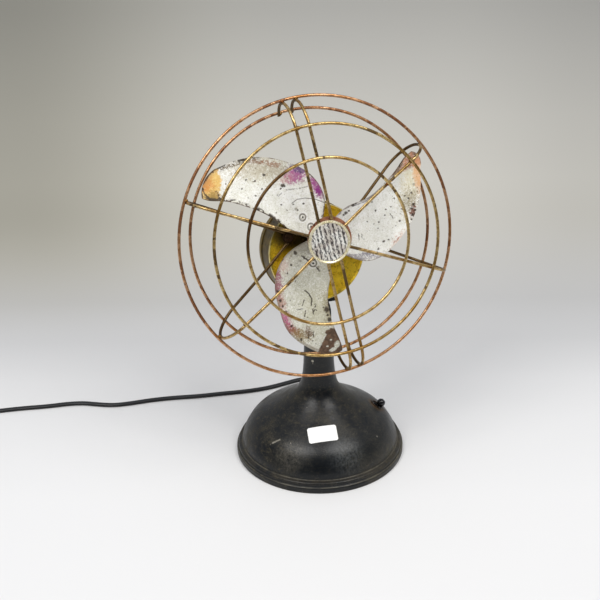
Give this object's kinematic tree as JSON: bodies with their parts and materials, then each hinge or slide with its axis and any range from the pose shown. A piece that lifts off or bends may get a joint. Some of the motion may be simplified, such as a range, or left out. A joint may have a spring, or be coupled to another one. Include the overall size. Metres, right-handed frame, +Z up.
{
  "type": "desk fan",
  "caption": "Small vintage mains desk fan: bell base with stem, tilting motor head, swept metal blades, open welded wire guard, base toggle switch and trailing flex.",
  "frame": {"origin": "centre of the base's rest face, on the surface it stands on", "axes": "+Z up along the stem, -Y towards where the fan blows, +X to the switch side"},
  "size_m": [0.5837, 0.287, 0.4021],
  "materials": {
    "worn_black_enamel": "worn black stoving enamel",
    "plain_steel": "dull, oxidised",
    "nickel_brass": "worn nickel over brass",
    "black_plastic": "black phenolic",
    "flex_rubber": "black",
    "label_paper": "blank paper",
    "copper": "enamelled copper",
    "aluminium_cage": "cast",
    "bearing_bronze": "sintered",
    "gilt_housing": "gold lacquer on steel",
    "black_cover": "dark lacquer",
    "aged_brass_wire": "worn brass plating with brown oxide",
    "white_blade_paint": "chipped off-white paint",
    "rivet_steel": "painted and chipped",
    "badge_metal": "worn plating, plain ribs",
    "rusty_steel": "rusted",
    "black_lacquer": "glossy black lacquer"
  },
  "bodies": {
    "base": {"base_casting": "worn_black_enamel", "base_plate": "plain_steel", "base_plate_screws": "plain_steel", "switch_body": "plain_steel", "switch_collar": "rusty_steel", "terminal_block": "black_plastic", "terminal_screws": "plain_steel", "cord_sleeve": "flex_rubber", "supply_cord": "flex_rubber", "supply_cord_coil": "flex_rubber", "supply_cord_tail": "flex_rubber", "plug_body": "black_plastic", "plug_pins": "nickel_brass", "tilt_bolt": "plain_steel", "tilt_washer": "plain_steel", "blank_label": "label_paper"},
    "switch_toggle": {"switch_lever": "black_lacquer"},
    "thumb_nut": {"tilt_nut": "nickel_brass"},
    "rotor": {"rotor_core": "plain_steel", "rotor_bars": "aluminium_cage", "motor_shaft": "plain_steel", "thrust_washers": "plain_steel", "blade_1": "white_blade_paint", "blade_2": "white_blade_paint", "blade_3": "white_blade_paint", "blade_rivets": "rivet_steel", "blade_spider": "plain_steel", "hub_set_screw": "plain_steel", "hub_nut": "plain_steel"},
    "head": {"badge": "badge_metal", "badge_back_disc": "rusty_steel", "badge_stud": "plain_steel", "coil_bobbin": "black_plastic", "field_coil": "copper", "front_bearing": "bearing_bronze", "front_bearing_bracket": "plain_steel", "guard_inner_ring": "aged_brass_wire", "guard_left_wire": "aged_brass_wire", "guard_long_wire_1": "aged_brass_wire", "guard_long_wire_2": "aged_brass_wire", "guard_outer_ring": "aged_brass_wire", "guard_rear_ring": "aged_brass_wire", "guard_right_wire": "aged_brass_wire", "guard_rim_ring": "aged_brass_wire", "guard_screw_washers": "plain_steel", "guard_screws": "plain_steel", "motor_front_housing": "gilt_housing", "motor_leads": "flex_rubber", "motor_rear_cover": "black_cover", "rear_bearing": "bearing_bronze", "rear_bearing_bracket": "plain_steel", "rear_cover_screws": "plain_steel", "shading_bars": "copper", "stator_bolts": "plain_steel", "stator_stack": "plain_steel", "tilt_lug": "black_cover", "tilt_lug_screws": "plain_steel"}
  },
  "joints": [
    {"name": "head_tilt", "type": "hinge", "parent": "base", "child": "head", "pos_m": [0, 0, 0.1693], "axis": [-1, 0, 0], "range_deg": [-8, 20]},
    {"name": "blade_spin", "type": "hinge", "parent": "head", "child": "rotor", "pos_m": [-0.0035, 0, 0.25835], "axis": [0, 0.9664, -0.2571], "continuous": true},
    {"name": "switch_throw", "type": "hinge", "parent": "base", "child": "switch_toggle", "pos_m": [0.0607, -0.00745, 0.03998], "axis": [-0.1219, -0.9925, 0], "range_deg": [0, 26]},
    {"name": "thumb_nut_turn", "type": "hinge", "parent": "base", "child": "thumb_nut", "pos_m": [-0.016, 0, 0.1693], "axis": [-1, 0, 0], "range_deg": [-20, 340]}
  ]
}
